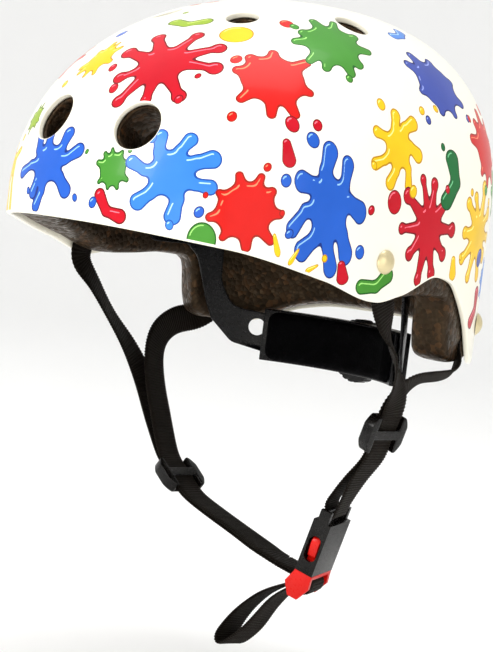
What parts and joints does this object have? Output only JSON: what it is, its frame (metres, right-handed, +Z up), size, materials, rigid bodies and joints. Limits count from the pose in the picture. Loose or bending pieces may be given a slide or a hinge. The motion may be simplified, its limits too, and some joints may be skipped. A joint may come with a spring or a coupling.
{
  "type": "cycling helmet",
  "caption": "Round-crown cycling helmet with a painted shell, foam liner, comfort pads, dial-fit nape cradle, adjustable chin straps and a side-release buckle.",
  "frame": {"origin": "centre of the head opening at the level where the shell is widest, where the wearer's head sits", "axes": "+Z up as worn, -Y to the front, +X to the wearer's left"},
  "size_m": [0.2142, 0.2485, 0.3329],
  "materials": {
    "painted_shell": "glossy cream-white lacquer with a pattern of coloured paint splashes",
    "foam_liner": "moulded expanded bead foam, matt, faint bead pattern",
    "pad_fabric": "brushed knit over foam",
    "cradle_fabric": "brushed knit over foam",
    "rivet_cream": "satin cream enamel",
    "black_plastic": "satin moulded acetal",
    "cradle_plastic": "satin moulded nylon",
    "dial_rubber": "matt moulded rubber grip",
    "pinion_plastic": "natural acetal",
    "webbing": "ribbed polypropylene webbing",
    "red_plastic": "satin red acetal"
  },
  "bodies": {
    "helmet": {"outer_shell": "painted_shell", "eps_liner": "foam_liner", "brow_pad": "pad_fabric", "crown_pad": "pad_fabric", "left_side_pad": "pad_fabric", "right_side_pad": "pad_fabric", "rear_pad": "pad_fabric", "front_rivets": "rivet_cream", "rear_rivets": "rivet_cream", "rivet_washers": "black_plastic", "temple_pins": "black_plastic", "left_front_strap": "webbing", "left_rear_strap": "webbing", "right_front_strap": "webbing", "right_rear_strap": "webbing", "buckle_female": "black_plastic"},
    "cradle": {"cradle_housing": "cradle_plastic", "housing_cover": "cradle_plastic", "cradle_pad": "cradle_fabric"},
    "left_arm": {"left_arm": "cradle_plastic"},
    "right_arm": {"right_arm": "cradle_plastic"},
    "dial": {"dial_knob": "dial_rubber", "dial_pinion": "pinion_plastic"},
    "left_slider": {"left_slider": "black_plastic"},
    "right_slider": {"right_slider": "black_plastic"},
    "buckle_male": {"buckle_male": "red_plastic", "right_strap_tail": "webbing"},
    "prong_front": {"buckle_prong_front": "red_plastic"},
    "prong_rear": {"buckle_prong_rear": "red_plastic"}
  },
  "joints": [
    {"name": "cradle_tilt", "type": "hinge", "parent": "helmet", "child": "cradle", "pos_m": [0, 0.0209, -0.015], "axis": [1, 0, 0], "range_deg": [-9, 1.5]},
    {"name": "dial_turn", "type": "hinge", "parent": "cradle", "child": "dial", "pos_m": [0, 0.087, -0.0675], "axis": [0, 1, 0], "range_deg": [-80, 80]},
    {"name": "left_arm_draw", "type": "hinge", "parent": "cradle", "child": "left_arm", "pos_m": [0, 0.007, -0.0675], "axis": [0, 0, 1], "range_deg": [-5, 5]},
    {"name": "right_arm_draw", "type": "hinge", "parent": "cradle", "child": "right_arm", "pos_m": [0, 0.007, -0.0675], "axis": [0, 0, 1], "range_deg": [-5, 5]},
    {"name": "left_slider_slide", "type": "slide", "parent": "helmet", "child": "left_slider", "axis": [-0.3007, 0, -0.9537], "range_m": [-0.003, 0.004]},
    {"name": "right_slider_slide", "type": "slide", "parent": "helmet", "child": "right_slider", "axis": [0.788, 0, -0.6157], "range_m": [-0.004, 0.004]},
    {"name": "buckle_pull", "type": "slide", "parent": "helmet", "child": "buckle_male", "axis": [-0.3007, 0, -0.9537], "range_m": [0, 0.014]},
    {"name": "prong_rear_flex", "type": "hinge", "parent": "buckle_male", "child": "prong_rear", "pos_m": [0.05217, 0.02614, -0.17088], "axis": [0.9144, 0.284, -0.2883], "range_deg": [-1, 14]},
    {"name": "prong_front_flex", "type": "hinge", "parent": "buckle_male", "child": "prong_front", "pos_m": [0.05564, 0.01386, -0.17197], "axis": [-0.9144, -0.284, 0.2883], "range_deg": [-1, 14]}
  ],
  "couplings": [
    {"joint": "left_arm_draw", "follows": "dial_turn", "ratio": -0.06},
    {"joint": "right_arm_draw", "follows": "dial_turn", "ratio": 0.06},
    {"joint": "prong_rear_flex", "follows": "buckle_pull", "rad_per_m": 16},
    {"joint": "prong_front_flex", "follows": "buckle_pull", "rad_per_m": 16}
  ]
}
